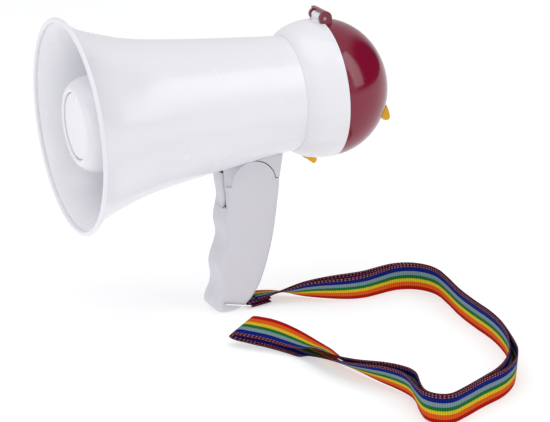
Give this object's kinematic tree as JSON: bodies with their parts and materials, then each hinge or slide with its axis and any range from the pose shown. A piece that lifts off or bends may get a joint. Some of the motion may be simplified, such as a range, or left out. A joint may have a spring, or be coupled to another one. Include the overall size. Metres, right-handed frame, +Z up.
{
  "type": "handheld megaphone",
  "caption": "Small handheld megaphone with a white flared horn, a dark red hinged rear dome, a finger-grooved trigger handle and a striped ribbon strap.",
  "frame": {"origin": "on the supporting surface under the middle of the object's box, strap left out", "axes": "+Z up, +X from the bell to the rear dome along the horn axis, +Y to the right hand of a person speaking into it"},
  "size_m": [0.2069, 0.2886, 0.1865],
  "materials": {
    "white_shell": "moulded white ABS, gloss",
    "red_shell": "moulded dark red ABS, gloss",
    "yellow_part": "moulded amber yellow plastic",
    "handle_shell": "fine satin white ABS",
    "black_plastic": "black moulded plastic",
    "grey_plastic": "grey moulded plastic",
    "steel": "plated steel",
    "magnet": "ferrite",
    "paper_cone": "doped cone",
    "copper_coil": "enamelled copper",
    "board": "green circuit board",
    "cell_jacket": "plain blue cell jacket",
    "soft_rubber": "soft black rubber",
    "ribbon": "striped grosgrain ribbon"
  },
  "bodies": {
    "body": {"horn": "white_shell", "reflector_bullet": "white_shell", "bullet_cap": "white_shell", "throat_tube": "white_shell", "bullet_spider": "white_shell", "speaker_baffle": "black_plastic", "speaker_frame": "steel", "speaker_diaphragm": "paper_cone", "voice_coil": "copper_coil", "magnet_plate": "steel", "speaker_magnet": "magnet", "speaker_yoke": "steel", "speaker_screws": "steel", "rear_housing": "white_shell", "hinge_pin": "steel", "latch_spring": "steel", "battery_tray": "black_plastic", "batteries": "cell_jacket", "battery_contacts": "steel", "battery_springs": "steel", "tray_posts": "grey_plastic", "tray_screws": "steel", "amp_board": "board", "amp_components": "black_plastic", "handle_left": "handle_shell", "handle_right": "handle_shell", "handle_screws": "steel", "handle_bolt": "steel", "handle_bracket": "white_shell", "trigger_pin": "steel", "trigger_spring": "steel", "talk_switch": "black_plastic", "strap": "ribbon"},
    "cover": {"rear_cover": "red_shell", "cover_catch": "red_shell", "mode_switch": "black_plastic", "control_board": "board", "mic_grille": "black_plastic", "mic_boot": "soft_rubber", "mic_capsule": "steel"},
    "latch": {"cover_latch": "yellow_part"},
    "mode_slider": {"mode_knob": "yellow_part"},
    "trigger": {"trigger": "handle_shell"},
    "bail": {"wire_bail": "steel", "strap_tab": "ribbon"}
  },
  "joints": [
    {"name": "cover_hinge", "type": "hinge", "parent": "body", "child": "cover", "pos_m": [0.0598, 0, 0.1668], "axis": [0, -1, 0], "range_deg": [0, 90]},
    {"name": "latch_slide", "type": "slide", "parent": "body", "child": "latch", "axis": [-1, 0, 0], "range_m": [0, 0.003], "stiffness_N_per_m": 300, "springref_m": -0.002},
    {"name": "mode_slide", "type": "slide", "parent": "cover", "child": "mode_slider", "axis": [0.4153, 0, 0.9097], "range_m": [-0.0025, 0.0025]},
    {"name": "trigger_pivot", "type": "hinge", "parent": "body", "child": "trigger", "pos_m": [-0.0029, 0, 0.0804], "axis": [0, -1, 0], "range_deg": [0, 8], "stiffness_Nm_per_rad": 0.4, "springref_deg": -5.73},
    {"name": "bail_swing", "type": "hinge", "parent": "body", "child": "bail", "pos_m": [-0.0129, 0, 0.0056], "axis": [0, 1, 0], "range_deg": [0, 70]}
  ]
}
